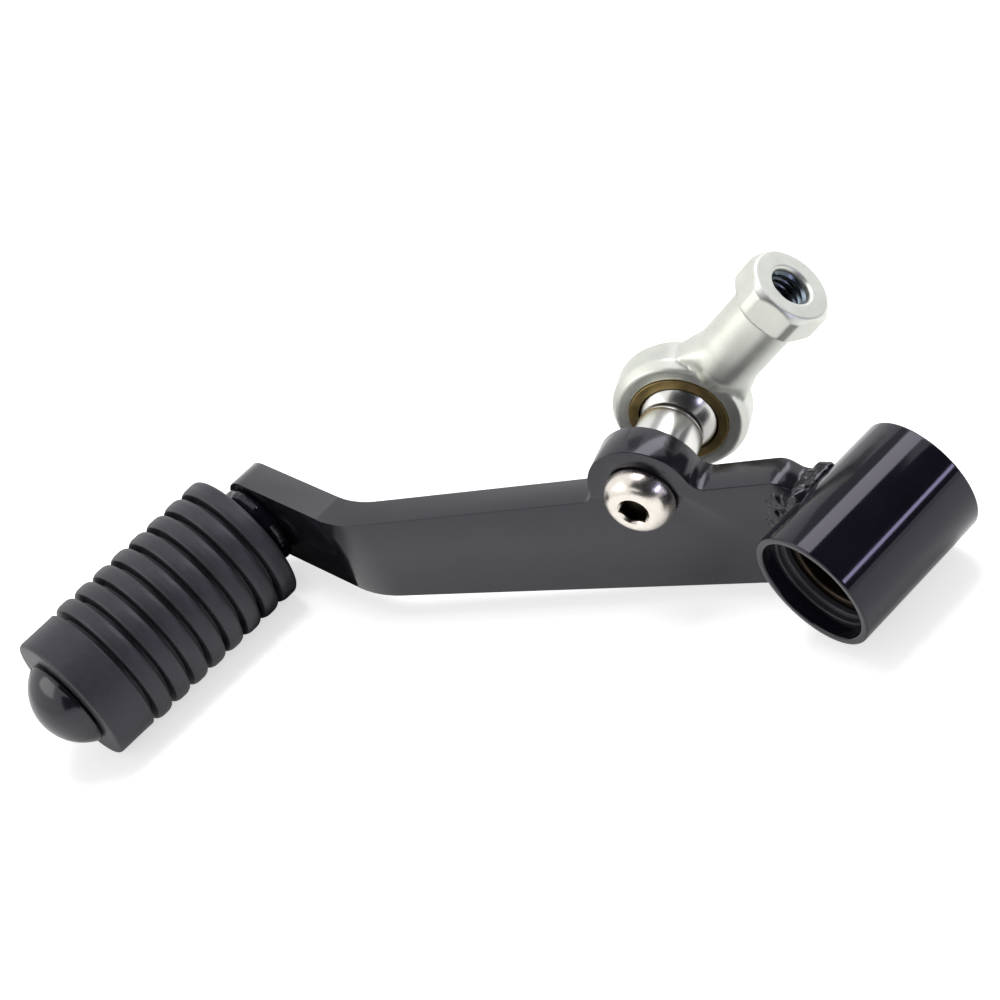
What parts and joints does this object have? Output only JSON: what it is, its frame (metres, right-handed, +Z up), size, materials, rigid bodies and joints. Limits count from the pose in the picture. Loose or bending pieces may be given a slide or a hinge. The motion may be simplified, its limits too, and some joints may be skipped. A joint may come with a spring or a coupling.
{
  "type": "motorcycle gear shift lever",
  "caption": "Bent steel gear shift lever with a welded pivot sleeve, a ribbed rubber toe peg and a swinging spherical rod end for the shift rod.",
  "frame": {"origin": "centre of the pivot sleeve, on the axis of its bore", "axes": "+Y along the sleeve's and the toe peg's axes, away from the peg's domed end; +X from the toe peg to the sleeve; +Z up, with the link ear on the upper edge of the arm"},
  "size_m": [0.1259, 0.1063, 0.0418],
  "materials": {
    "black_paint": "semi-gloss black paint on steel",
    "gloss_black_paint": "gloss black paint on steel",
    "black_rubber": "matte moulded rubber",
    "bronze": "plain turned bronze",
    "stainless": "polished stainless steel",
    "chrome": "polished chrome plate",
    "zinc_plate": "pale bright zinc plate on forged steel"
  },
  "bodies": {
    "lever": {"arm_plate": "black_paint", "pivot_sleeve": "gloss_black_paint", "sleeve_weld": "gloss_black_paint", "pivot_bush": "bronze", "dust_seal_front": "black_rubber", "dust_seal_back": "black_rubber", "peg_pin": "gloss_black_paint", "peg_weld": "gloss_black_paint", "peg_tail_weld": "gloss_black_paint", "peg_rubber": "black_rubber", "link_screw": "stainless", "ball_spacer": "chrome", "rod_end_ball": "chrome", "link_nut": "zinc_plate"},
    "rod_end": {"rod_end_housing": "zinc_plate", "rod_end_race": "bronze"}
  },
  "joints": [
    {"name": "rod_end_swing", "type": "hinge", "parent": "lever", "child": "rod_end", "pos_m": [-0.03622, 0.00405, 0.0093], "axis": [-0.4305, 0.9026, 0], "continuous": true}
  ]
}
